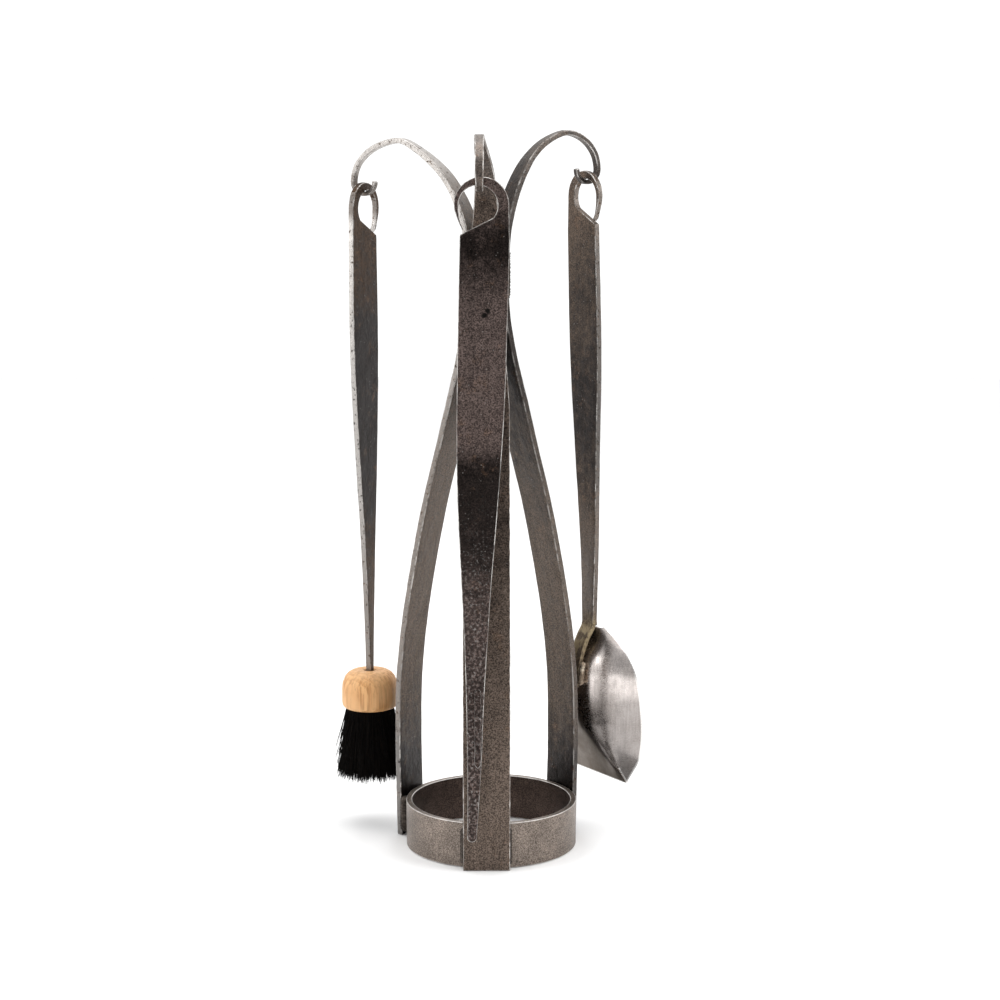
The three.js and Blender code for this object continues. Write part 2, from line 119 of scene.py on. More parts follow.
class Paint:
    """A material's node tree, with one short method for each kind of node that the finishes use."""

    def __init__(self, name: str) -> None:
        """Starts a material with only its surface shader and output.

        Args:
            name: The material's name.
        """
        self.material = bpy.data.materials.new(name)
        self.material.use_nodes = True
        self.nodes = self.material.node_tree.nodes
        self.nodes.clear()
        self.surface = self.nodes.new("ShaderNodeBsdfPrincipled")
        output = self.nodes.new("ShaderNodeOutputMaterial")
        self.join(self.surface.outputs["BSDF"], output.inputs["Surface"])
        self.place = self.nodes.new("ShaderNodeTexCoord").outputs["Object"]
        self.up = self.axis("Z")

    def join(self, source: Socket, target: Socket) -> None:
        """Links an output to an input."""
        self.material.node_tree.links.new(source, target)

    def feed(self, target: Socket, value: Socket | float | Sequence[float]) -> None:
        """Links a socket, or sets a plain value, on an input.

        Args:
            target: The input.
            value: An output to link, a number, or a colour or vector.
        """
        if isinstance(value, bpy.types.NodeSocket):
            self.join(value, target)
        elif isinstance(value, (int, float)):
            target.default_value = value
        else:
            size = len(target.default_value)
            target.default_value = (*value, 1.0)[:size]

    def axis(self, letter: str) -> Socket:
        """One axis of the piece's own coordinates.

        Args:
            letter: X, Y or Z.

        Returns:
            The axis value in metres.
        """
        split = self.nodes.new("ShaderNodeSeparateXYZ")
        self.join(self.place, split.inputs[0])
        return split.outputs[letter]

    def mapped(self, scale: Place, turn: Place = (0, 0, 0), shift: Place = (0, 0, 0)) -> Socket:
        """The piece's coordinates scaled, turned and moved.

        Args:
            scale: Scale on each axis.
            turn: Turn about each axis, in radians.
            shift: Move along each axis, in metres.

        Returns:
            The mapped coordinates.
        """
        mapping = self.nodes.new("ShaderNodeMapping")
        self.join(self.place, mapping.inputs["Vector"])
        mapping.inputs["Scale"].default_value = scale
        mapping.inputs["Rotation"].default_value = turn
        mapping.inputs["Location"].default_value = shift
        return mapping.outputs["Vector"]

    def cloud(
        self, scale: float, detail: float = 3.0, rough: float = 0.6, at: Socket | None = None
    ) -> Socket:
        """Soft random patches.

        Args:
            scale: Patches per metre.
            detail: Octaves of finer patches.
            rough: Strength of the finer patches.
            at: Coordinates to read, or None for the piece's own.

        Returns:
            A value about 0.5.
        """
        texture = self.nodes.new("ShaderNodeTexNoise")
        self.join(at or self.place, texture.inputs["Vector"])
        texture.inputs["Scale"].default_value = scale
        texture.inputs["Detail"].default_value = detail
        texture.inputs["Roughness"].default_value = rough
        return texture.outputs["Fac"]

    def cells(self, scale: float, at: Socket | None = None) -> Socket:
        """Distance to the nearest of many scattered points.

        Args:
            scale: Points per metre.
            at: Coordinates to read, or None for the piece's own.

        Returns:
            The distance, 0 at each point.
        """
        texture = self.nodes.new("ShaderNodeTexVoronoi")
        self.join(at or self.place, texture.inputs["Vector"])
        texture.inputs["Scale"].default_value = scale
        return texture.outputs["Distance"]

    def rings(self, scale: float, at: Socket, wobble: float) -> Socket:
        """Concentric growth rings about the vertical.

        Args:
            scale: Rings per metre, about.
            at: Coordinates centred on the pith.
            wobble: How far the rings wander.

        Returns:
            A value from 0 to 1 across each ring.
        """
        texture = self.nodes.new("ShaderNodeTexWave")
        texture.wave_type = "RINGS"
        texture.rings_direction = "Z"
        texture.wave_profile = "SAW"
        self.join(at, texture.inputs["Vector"])
        texture.inputs["Scale"].default_value = scale
        texture.inputs["Distortion"].default_value = wobble
        texture.inputs["Detail"].default_value = 3
        texture.inputs["Detail Scale"].default_value = 1.5
        return texture.outputs["Fac"]

    def span(self, value: Socket, low: float, high: float, start: float = 0.0, end: float = 1.0) -> Socket:
        """A value's stretch between low and high, smoothly carried to start and end.

        Args:
            value: The value.
            low: Where the stretch begins.
            high: Where it ends.
            start: Result at low and below.
            end: Result at high and above.

        Returns:
            The carried value.
        """
        node = self.nodes.new("ShaderNodeMapRange")
        node.interpolation_type = "SMOOTHSTEP"
        self.join(value, node.inputs["Value"])
        for name, number in zip(RANGE_SOCKETS, (low, high, start, end)):
            node.inputs[name].default_value = number
        return node.outputs["Result"]

    def sum(self, first: Socket | float, second: Socket | float) -> Socket:
        """Two values added."""
        return self.worked("ADD", first, second)

    def less(self, first: Socket | float, second: Socket | float) -> Socket:
        """The first value less the second."""
        return self.worked("SUBTRACT", first, second)

    def times(self, first: Socket | float, second: Socket | float) -> Socket:
        """Two values multiplied."""
        return self.worked("MULTIPLY", first, second)

    def most(self, first: Socket | float, second: Socket | float) -> Socket:
        """The greater of two values."""
        return self.worked("MAXIMUM", first, second)

    def worked(self, work: str, first: Socket | float, second: Socket | float) -> Socket:
        """Two values worked together.

        Args:
            work: The Math node's operation.
            first: The first value.
            second: The second value.

        Returns:
            The result.
        """
        node = self.nodes.new("ShaderNodeMath")
        node.operation = work
        self.feed(node.inputs[0], first)
        self.feed(node.inputs[1], second)
        return node.outputs[0]

    def blend(self, amount: Socket | float, under: Socket | Colour, over: Socket | Colour) -> Socket:
        """One colour laid over another.

        Args:
            amount: How much of the upper colour shows.
            under: The lower colour.
            over: The upper colour.

        Returns:
            The mixed colour.
        """
        node = self.nodes.new("ShaderNodeMix")
        node.data_type = "RGBA"
        self.feed(node.inputs["Factor"], amount)
        self.feed(node.inputs[6], under)
        self.feed(node.inputs[7], over)
        return node.outputs[2]

    def shaded(self, colour: Socket | Colour, amount: Socket) -> Socket:
        """A colour made darker or lighter.

        Args:
            colour: The colour.
            amount: What each of its channels is multiplied by.

        Returns:
            The changed colour.
        """
        node = self.nodes.new("ShaderNodeVectorMath")
        node.operation = "SCALE"
        self.feed(node.inputs[0], colour)
        self.join(amount, node.inputs["Scale"])
        return node.outputs[0]

    def by_height(self, rows: HeightRows) -> Socket:
        """A value that changes with height over the floor.

        Args:
            rows: Rows of height in metres and value from 0 to 1, upwards.

        Returns:
            The value at each height.
        """
        node = self.nodes.new("ShaderNodeValToRGB")
        self.join(self.times(self.up, 1 / HEIGHT_SPAN), node.inputs["Fac"])
        stops = node.color_ramp.elements
        for height, _ in rows[2:]:
            stops.new(height / HEIGHT_SPAN)
        for stop, (height, value) in zip(stops, rows):
            stop.position = height / HEIGHT_SPAN
            stop.color = (value, value, value, 1)
        return node.outputs["Color"]

    def near(self, centre: Place, radius: float, strength: float = 1.0) -> Socket:
        """A ragged spot.

        Args:
            centre: The spot's centre, in metres.
            radius: Its rough radius, in metres.
            strength: The value inside the spot.

        Returns:
            The strength inside the spot and 0 outside.
        """
        node = self.nodes.new("ShaderNodeVectorMath")
        node.operation = "DISTANCE"
        self.join(self.place, node.inputs[0])
        node.inputs[1].default_value = centre
        ragged = self.sum(node.outputs["Value"], self.times(self.cloud(500), radius))
        return self.span(ragged, radius * 1.0, radius * 1.6, strength, 0)

    def attribute(self, name: str) -> Socket:
        """A value that the mesh carries.

        Args:
            name: The attribute's name.

        Returns:
            Its value.
        """
        node = self.nodes.new("ShaderNodeAttribute")
        node.attribute_name = name
        return node.outputs["Fac"]

    def relief(self, *layers: tuple[Socket, float]) -> None:
        """Raises the surface by several heights, one over another.

        Args:
            layers: Pairs of height value and depth in metres.
        """
        normal = None
        for height, depth in layers:
            node = self.nodes.new("ShaderNodeBump")
            node.inputs["Strength"].default_value = 1
            node.inputs["Distance"].default_value = depth
            self.join(height, node.inputs["Height"])
            if normal:
                self.join(normal, node.inputs["Normal"])
            normal = node.outputs["Normal"]
        self.join(normal, self.surface.inputs["Normal"])

    def dress(self, **values: Socket | float | Sequence[float]) -> bpy.types.Material:
        """Sets the surface shader's sockets.

        Args:
            values: Socket names, with spaces as underscores, and what feeds them.

        Returns:
            The finished material.
        """
        for name, value in values.items():
            self.feed(self.surface.inputs[name.replace("_", " ")], value)
        return self.material


def evenly(amount: float) -> HeightRows:
    """Rows that give the same amount at every height."""
    return (0.0, amount), (TOP_ROW, amount)


@dataclass(frozen=True)
class ForgedSteel:
    """Waxed forged steel: dark mill scale in patches over brown-grey metal, with painted highlight on its
    edges.

    Rows of height and amount say where the scale is thick, with painted shade in the lowest rows of the side
    legs near
    the ring, where the metal is pocked by the hammer, and where its faces, narrow sides and edges are painted
    bright:
    painted highlight, partly over metal that hands have polished. Burnt places are dulled by the forge, and
    tempered places near a weld have a straw colour.
    """

    name: str
    ground: Colour = (0.1, 0.077, 0.063)
    # Mill scale colour, also the painted shade low on the side legs
    scale: Colour = (0.016, 0.0118, 0.0105)
    straw: Colour = (0.34, 0.27, 0.165)
    # Bright colour for painted highlight on edges, narrow sides and shining faces, partly polished wear
    rubbed_and_highlight: Colour = (0.6, 0.572, 0.545)
    rust: Colour = (0.16, 0.094, 0.058)
    # Near-black colour of the pits: painted shade for small hollows that the mesh does not have
    pit_shade: Colour = (0.008, 0.007, 0.006)
    # Rows for the scale; on the side legs the lowest rows are painted shade near the ring
    scale_and_shade: HeightRows = evenly(0.4)
    pocked: HeightRows = evenly(0.0)
    # Rows for painted highlight, partly polish: shining faces, narrow sides and edges
    shining: HeightRows = evenly(0.0)
    sides: HeightRows = evenly(0.3)
    edges: HeightRows = evenly(1.0)
    heat: float = 0.75
    burnt: tuple[tuple[Place, float], ...] = ()
    tempered: tuple[tuple[Place, float], ...] = ()
    grain: float = 900.0
    gloss: float = 0.36
    pit_radius: float = 0.0028
    pits: tuple[Place, ...] = ()

    def make(self) -> bpy.types.Material:
        """Builds the material.

        Returns:
            The material.
        """
        paint = Paint(self.name)
        blotch = paint.cloud(26, 4, 0.6)
        mottle = paint.cloud(130, 4, 0.65)
        speck = paint.cloud(self.grain, 3, 0.75)
        drawn = paint.cloud(240, 3, 0.6, paint.mapped((1, 1, 0.07)))
        worm = paint.cloud(430, 2, 0.5)

        drift = paint.sum(paint.times(blotch, 0.6), paint.times(mottle, 0.9))
        # Scale patches; the lowest rows of the side legs make painted shade near the ring
        scale_and_shade_depth = paint.sum(paint.by_height(self.scale_and_shade), paint.sum(drift, -0.75))
        scale_and_shade_mask = paint.span(scale_and_shade_depth, 0.2, 0.9)
        colour = paint.blend(scale_and_shade_mask, self.ground, self.scale)
        rust_mask = paint.span(paint.cloud(75, 4, 0.7), 0.56, 0.72, 0, 0.32)
        colour = paint.blend(rust_mask, colour, self.rust)

        tone = paint.span(speck, 0.36, 0.66, 0.3, 1.85)
        tone = paint.times(tone, paint.span(drawn, 0.3, 0.7, 0.88, 1.12))
        colour = paint.shaded(colour, tone)
        sparks = paint.times(paint.span(paint.cells(330), 0.2, 0.08), paint.span(mottle, 0.5, 0.62))
        colour = paint.blend(paint.times(sparks, 0.3), colour, self.rubbed_and_highlight)
        pock_mask = paint.times(paint.by_height(self.pocked), paint.span(worm, 0.44, 0.56))
        colour = paint.blend(paint.times(pock_mask, 0.75), colour, self.scale)
        pock_rim = paint.span(paint.times(worm, speck), 0.2, 0.13)
        pock_light = paint.times(paint.by_height(self.pocked), pock_rim)
        colour = paint.blend(paint.times(pock_light, 0.35), colour, self.rubbed_and_highlight)

        # Painted highlight, partly over metal polished by hands: shining faces, rounded edges and narrow
        # sides lighten
        flecks = paint.span(paint.cloud(300, 4, 0.7), 0.56, 0.66, 1, 0)
        shine = paint.times(paint.by_height(self.shining), flecks)
        shine = paint.times(shine, paint.span(mottle, 0.3, 0.6, 0.75, 1))
        edge = paint.times(paint.attribute(EDGE_WEAR_AND_HIGHLIGHT), paint.span(mottle, 0.4, 0.58, 0.18, 0.9))
        edge = paint.times(edge, paint.span(blotch, 0.36, 0.56, 0.35, 1.0))
        edge = paint.times(edge, paint.by_height(self.edges))
        side = paint.times(paint.by_height(self.sides), flecks)
        side = paint.times(paint.attribute(NARROW_SIDE), side)
        bright = paint.most(paint.most(shine, edge), side)
        for place, radius in self.burnt:
            heat = paint.near(place, radius, self.heat)
            bright = paint.times(bright, paint.less(1.0, heat))
        colour = paint.blend(bright, colour, self.rubbed_and_highlight)
        for place, radius in self.tempered:
            patches = paint.span(mottle, 0.42, 0.58, 0.2, 0.95)
            straw = paint.times(paint.near(place, radius), patches)
            colour = paint.blend(straw, colour, self.straw)
        # Pits painted near black: painted shade for hollows that the mesh does not have
        pit_shade_mask: Socket | None = None
        for pit in self.pits:
            spot = paint.near(pit, self.pit_radius)
            pit_shade_mask = paint.most(pit_shade_mask, spot) if pit_shade_mask else spot
        if pit_shade_mask:
            colour = paint.blend(pit_shade_mask, colour, self.pit_shade)

        rough = paint.span(scale_and_shade_mask, 0, 1, self.gloss + 0.07, self.gloss)
        rough = paint.sum(rough, paint.span(speck, 0.3, 0.7, -0.07, 0.1))
        rough = paint.sum(rough, paint.span(bright, 0, 1, 0, -0.12))
        paint.relief(
            (blotch, 0.0015),
            (mottle, 0.0004),
            (drawn, 0.00012),
            (speck, 0.00016),
            (paint.times(pock_mask, -1), 0.0002),
        )
        return paint.dress(Base_Color=colour, Roughness=rough, Metallic=0.92)


@dataclass(frozen=True)
class RolledSteel:
    """The ring's bar: ground metal brushed round its length, with painted shade making its inner face darker.
    """

    name: str
    outside: Colour = (0.212, 0.175, 0.149)
    # Colour of the inner face, darker as painted shade
    inside: Colour = (0.08, 0.057, 0.047)
    # Bright colour of the rounded edges: painted highlight, partly wear
    rubbed_and_highlight: Colour = (0.7, 0.67, 0.64)

    def make(self) -> bpy.types.Material:
        """Builds the material.

        Returns:
            The material.
        """
        paint = Paint(self.name)
        brushed = paint.cloud(150, 4, 0.7, paint.mapped((1, 1, 7)))
        speck = paint.cloud(950, 3, 0.75)
        mottle = paint.cloud(60, 4, 0.6)
        # Inner faces take the darker colour: painted shade
        inner = paint.attribute(INNER_FACE)
        colour = paint.blend(inner, self.outside, self.inside)
        tone = paint.span(speck, 0.36, 0.66, 0.45, 1.6)
        tone = paint.times(tone, paint.span(brushed, 0.3, 0.7, 0.82, 1.18))
        tone = paint.times(tone, paint.span(mottle, 0.3, 0.7, 0.82, 1.14))
        colour = paint.shaded(colour, tone)
        # Rounded edges lighten: painted highlight, partly wear
        edge = paint.times(paint.attribute(EDGE_WEAR_AND_HIGHLIGHT), paint.span(mottle, 0.3, 0.6, 0.4, 0.9))
        colour = paint.blend(edge, colour, self.rubbed_and_highlight)
        rough = paint.sum(paint.span(brushed, 0.3, 0.7, 0.34, 0.46), paint.span(speck, 0.3, 0.7, -0.05, 0.08))
        paint.relief((mottle, 0.0006), (brushed, 0.00015), (speck, 0.00016))
        return paint.dress(Base_Color=colour, Roughness=rough, Metallic=0.9)


@dataclass(frozen=True)
class PolishedPan:
    """Sheet steel raised with a mallet, then ground and polished, with fine scratches."""

    name: str
    metal: Colour = (0.84, 0.77, 0.735)
    dull: Colour = (0.24, 0.205, 0.185)
    # Painted shade for the flat triangle behind the lip, which faces away from the light
    flat_shade: Colour = (0.125, 0.1, 0.078)
    # Painted highlight along the rounded rims
    rim: Colour = (0.85, 0.83, 0.81)
    # Painted highlight and painted shade in bands by height over the pan
    painted_light_bands: HeightRows = (
        (0.0, 0.4), (0.1, 0.41), (0.118, 0.47), (0.13, 0.9), (0.15, 1.0), (0.159, 0.8), (0.168, 0.34),
        (0.182, 0.2),
    )

    def make(self) -> bpy.types.Material:
        """Builds the material.

        Returns:
            The material.
        """
        paint = Paint(self.name)
        mallet = paint.cloud(36, 1, 0.4)
        flat = paint.attribute(LIP_FLAT)
        scratch_a = paint.cloud(700, 3, 0.6, paint.mapped((1, 1, 0.05), (0.5, 0.35, 0.2)))
        scratch_b = paint.cloud(800, 3, 0.6, paint.mapped((0.06, 1, 1), (0.2, 0.4, 0.9)))
        haze = paint.cloud(34, 4, 0.65)
        speck = paint.cloud(1100, 2, 0.7)
        # Painted highlight and painted shade in bands by height
        colour = paint.shaded(self.metal, paint.by_height(self.painted_light_bands))
        colour = paint.blend(paint.span(haze, 0.42, 0.7, 0, 0.4), colour, self.dull)
        # The flat behind the lip takes painted shade
        flat_shade_mask = paint.times(flat, paint.span(haze, 0.3, 0.62, 0.72, 0.95))
        colour = paint.blend(flat_shade_mask, colour, self.flat_shade)
        tone = paint.span(scratch_a, 0.3, 0.7, 0.9, 1.1)
        tone = paint.times(tone, paint.span(speck, 0.3, 0.7, 0.94, 1.06))
        colour = paint.shaded(colour, tone)
        # Rounded rims lighten: painted highlight
        edge = paint.times(paint.attribute(EDGE_WEAR_AND_HIGHLIGHT), 0.8)
        colour = paint.blend(edge, colour, self.rim)
        rough = paint.sum(paint.span(haze, 0.35, 0.7, 0.2, 0.3), paint.span(scratch_b, 0.3, 0.7, -0.03, 0.05))
        rough = paint.sum(rough, paint.times(flat, 0.14))
        paint.relief((mallet, 0.0012), (scratch_a, 0.00001))
        return paint.dress(Base_Color=colour, Roughness=rough, Metallic=1.0)


@dataclass(frozen=True)
class WeldMetal:
    """A weld bead: bright puddled metal with straw and brown heat colours and dark slag between ripples."""

    name: str
    metal: Colour = (0.5, 0.45, 0.38)
    burnt: Colour = (0.16, 0.11, 0.075)
    slag: Colour = (0.03, 0.026, 0.024)

    def make(self) -> bpy.types.Material:
        """Builds the material.

        Returns:
            The material.
        """
        paint = Paint(self.name)
        heat = paint.cloud(110, 3, 0.6)
        spatter = paint.cells(420)
        speck = paint.cloud(900, 3, 0.7)
        colour = paint.blend(paint.span(heat, 0.35, 0.62, 0, 0.85), self.metal, self.burnt)
        colour = paint.shaded(colour, paint.span(speck, 0.3, 0.7, 0.6, 1.35))
        colour = paint.blend(paint.span(spatter, 0.3, 0.12, 0, 0.5), colour, self.slag)
        rough = paint.span(heat, 0.3, 0.7, 0.3, 0.52)
        paint.relief((heat, 0.001), (spatter, 0.0003), (speck, 0.0002))
        return paint.dress(Base_Color=colour, Roughness=rough, Metallic=0.9)


@dataclass(frozen=True)
class TurnedWood:
    """Pale turned hardwood with upright grain, pores on its side and rings on its crown."""

    name: str
    pith: Place
    early: Colour = (0.78, 0.445, 0.195)
    late: Colour = (0.6, 0.285, 0.1)
    streak: Colour = (0.4, 0.175, 0.06)
    bleached: Colour = (0.82, 0.52, 0.27)
    pore: Colour = (0.2, 0.09, 0.035)

    def make(self) -> bpy.types.Material:
        """Builds the material.

        Returns:
            The material.
        """
        paint = Paint(self.name)
        centred = paint.mapped((1, 1, 0.12), shift=tuple(-value for value in self.pith))
        rings = paint.rings(95, centred, 2.2)
        fibre = paint.cloud(420, 4, 0.65, paint.mapped((1, 1, 0.06)))
        pores = paint.cells(620, paint.mapped((1, 1, 0.14)))
        cloud = paint.cloud(45, 3, 0.5)
        colour = paint.blend(paint.span(rings, 0.1, 0.95, 0, 0.55), self.early, self.late)
        colour = paint.blend(paint.span(fibre, 0.42, 0.66, 0, 0.7), colour, self.streak)
        colour = paint.blend(paint.span(cloud, 0.35, 0.65, 0, 0.35), colour, self.bleached)
        pore_mask = paint.times(paint.span(pores, 0.2, 0.08), paint.span(paint.cloud(90), 0.45, 0.6))
        colour = paint.blend(paint.times(pore_mask, 0.6), colour, self.pore)
        rough = paint.span(fibre, 0.3, 0.7, 0.42, 0.62)
        paint.relief((fibre, 0.00018), (paint.span(pores, 0.05, 0.22), 0.00012), (rings, 0.0001))
        return paint.dress(Base_Color=colour, Roughness=rough, Specular_IOR_Level=0.4)


@dataclass(frozen=True)
class BristleFibre:
    """Stiff black vegetable fibre, a little browner and duller from strand to strand."""

    name: str
    black: Colour = (0.0018, 0.0015, 0.0014)
    brown: Colour = (0.009, 0.006, 0.0045)

    def make(self) -> bpy.types.Material:
        """Builds the material.

        Returns:
            The material.
        """
        paint = Paint(self.name)
        strand = paint.cloud(900, 2, 0.6, paint.mapped((1, 1, 0.05)))
        scale = paint.cloud(1600, 2, 0.6, paint.mapped((1, 1, 0.6)))
        colour = paint.blend(paint.span(strand, 0.4, 0.7, 0, 0.8), self.black, self.brown)
        rough = paint.span(strand, 0.3, 0.7, 0.6, 0.85)
        paint.relief((scale, 0.00008))
        return paint.dress(Base_Color=colour, Roughness=rough, Specular_IOR_Level=0.06)


def welded_copy(node: str) -> bmesh.types.BMesh:
    """A copy of a frame node's mesh with its corners merged and its flat triangles joined.

    Args:
        node: The node's name.

    Returns:
        The copied shape.
    """
    shape = bmesh.new()
    shape.from_mesh(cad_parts[node].data)
    bmesh.ops.remove_doubles(shape, verts=shape.verts, dist=MERGE_DISTANCE)
    bmesh.ops.dissolve_limit(shape, angle_limit=FLAT_ANGLE, verts=shape.verts, edges=shape.edges)
    return shape


def round_edges(shape: bmesh.types.BMesh, radius: float, segments: int = 2) -> None:
    """Rounds the sharp edges of a shape and marks the rounding for painted highlight and wear.

    Args:
        shape: The shape to change.
        radius: How far back from the edge the rounding starts, in metres.
        segments: Steps across the rounding.
    """
    wear_and_highlight = shape.faces.layers.float.get(EDGE_WEAR_AND_HIGHLIGHT) or shape.faces.layers.float.new(EDGE_WEAR_AND_HIGHLIGHT)
    sharp = [edge for edge in shape.edges if edge.is_manifold and edge.calc_face_angle() > SHARP_ANGLE]
    made = bmesh.ops.bevel(
        shape, geom=sharp, offset=radius, offset_type="OFFSET", segments=segments, profile=0.5,
        affect="EDGES", material=-1, clamp_overlap=False, loop_slide=True,
    )
    for face in made["faces"]:
        face[wear_and_highlight] = 1.0


def slice_along(shape: bmesh.types.BMesh, direction: Vector, step: float) -> None:
    """Cuts a shape's faces by evenly spaced planes, so that they can be hammered.

    Args:
        shape: The shape to cut.
        direction: The planes' normal.
        step: Distance between planes, in metres.
    """
    reaches = [vert.co.dot(direction) for vert in shape.verts]
    low, high = min(reaches), max(reaches)
    count = max(1, round((high - low) / step))
    for index in range(1, count):
        reach = low + (high - low) * index / count
        geometry = [*shape.verts, *shape.edges, *shape.faces]
        bmesh.ops.bisect_plane(
            shape, geom=geometry, dist=MERGE_DISTANCE, plane_co=direction * reach, plane_no=direction
        )


def push_out(shape: bmesh.types.BMesh, distance: Callable[[Vector], float]) -> None:
    """Moves every corner of a shape along its normal.

    Args:
        shape: The shape to change.
        distance: Gives how far out a corner goes from its place, in metres.
    """
    shape.normal_update()
    moves = [vert.normal * distance(vert.co) for vert in shape.verts]
    for vert, move in zip(shape.verts, moves):
        vert.co += move


def hammer(shape: bmesh.types.BMesh, depth: float, size: float, seed: float) -> None:
    """Moves a surface in and out by soft random dents.

    Args:
        shape: The shape to change.
        depth: The deepest dent, in metres.
        size: Distance from dent to dent, in metres.
        seed: A number that picks the pattern.
    """
    away = Vector((seed, seed * 2, seed * 3))
    push_out(shape, lambda spot: depth * noise.noise(spot / size + away))


def finish_piece(
    name: str,
    shape: bmesh.types.BMesh,
    material: bpy.types.Material,
    body: Body,
    nodes: Sequence[str],
) -> bpy.types.Object:
    """Turns a shape into a piece that stands for frame nodes.

    Args:
        name: The piece's name.
        shape: Its shape, which is used up.
        material: Its finish.
        body: The body that it rides on.
        nodes: The frame nodes that it replaces.

    Returns:
        The piece.
    """
    mesh = bpy.data.meshes.new(name)
    shape.to_mesh(mesh)
    shape.free()
    mesh.shade_smooth()
    mesh.materials.append(material)
    piece = bpy.data.objects.new(name, mesh)
    bpy.context.scene.collection.objects.link(piece)
    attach(piece, body.value)
    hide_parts(*nodes)
    log.info("%s: %d faces, on %s", name, len(mesh.polygons), body.value)
    return piece


def even_shading(piece: bpy.types.Object) -> None:
    """Keeps wide faces flat-looking beside their rounded edges."""
    modifier = piece.modifiers.new("even_shading", "WEIGHTED_NORMAL")
    modifier.weight = 80


def subdivide(piece: bpy.types.Object, levels: int) -> None:
    """Smooths a piece with a subdivision surface."""
    modifier = piece.modifiers.new("smooth_form", "SUBSURF")
    modifier.levels = levels
    modifier.render_levels = levels


def middle(node: str) -> Vector:
    """The middle of a frame node's box."""
    low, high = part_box(node)
    return (Vector(low) + Vector(high)) / 2


@dataclass
class ForgedBar:
    """A hand-forged flat bar made from its frame node, with rounded edges and hammer marks.

    The wide dents carry finer ones, which are shallower by fine_depth and smaller by fine_size.
    """

    node: str
    body: Body
    finish: ForgedSteel
    across: float
    edge: float = 0.0006
    cut: float = 0.006
    dent: float = 0.00016
    dent_size: float = 0.014
    fine_depth: float = 2.0
    fine_size: float = 3.0
    seed: float = 1.0

    def build(self) -> bpy.types.Object:
        """Shapes and dresses the bar.

        Returns:
            The piece.
        """
        shape = welded_copy(self.node)
        round_edges(shape, self.edge)
        slice_along(shape, UP, self.cut)
        across = Vector((math.cos(self.across), math.sin(self.across), 0))
        slice_along(shape, across, self.cut)
        side = shape.faces.layers.float.new(NARROW_SIDE)
        for face in shape.faces:
            face[side] = 1.0 if abs(face.normal.dot(across)) > SIDE_SLOPE else 0.0
        hammer(shape, self.dent, self.dent_size, self.seed)
        hammer(shape, self.dent / self.fine_depth, self.dent_size / self.fine_size, self.seed + 5)
        piece = finish_piece(
            f"{self.node}_forged", shape, self.finish.make(), self.body, [self.node]
        )
        even_shading(piece)
        return piece


@dataclass
class WeldBead:
    """A rippled weld bead made from its frame node."""

    node: str
    body: Body
    material: bpy.types.Material
    ripple_pitch: float = 0.0026
    ripple_depth: float = 0.00022
    cut: float = 0.0016
    wander: float = 160.0
    lumpiness: float = 350.0
    sunk: float = 0.6
    seed: float = 1.0

    def build(self) -> bpy.types.Object:
        """Shapes and dresses the bead.

        Returns:
            The piece.
        """
        shape = welded_copy(self.node)
        slice_along(shape, UP, self.ripple_pitch / 4)
        slice_along(shape, Vector((1, 0, 0)), self.cut)
        slice_along(shape, Vector((0, 1, 0)), self.cut)
        push_out(shape, self.ripple)
        return finish_piece(self.node + "_bead", shape, self.material, self.body, [self.node])

    def ripple(self, spot: Vector) -> float:
        """How far the bead's surface stands out at a spot.

        Args:
            spot: A place on the bead.

        Returns:
            The distance in metres.
        """
        phase = spot.z / self.ripple_pitch + noise.noise(spot * self.wander + Vector((self.seed, 0, 0)))
        lump = noise.noise(spot * self.lumpiness + Vector((0, self.seed, 0)))
        return self.ripple_depth * (math.sin(phase * math.tau) - self.sunk + lump)


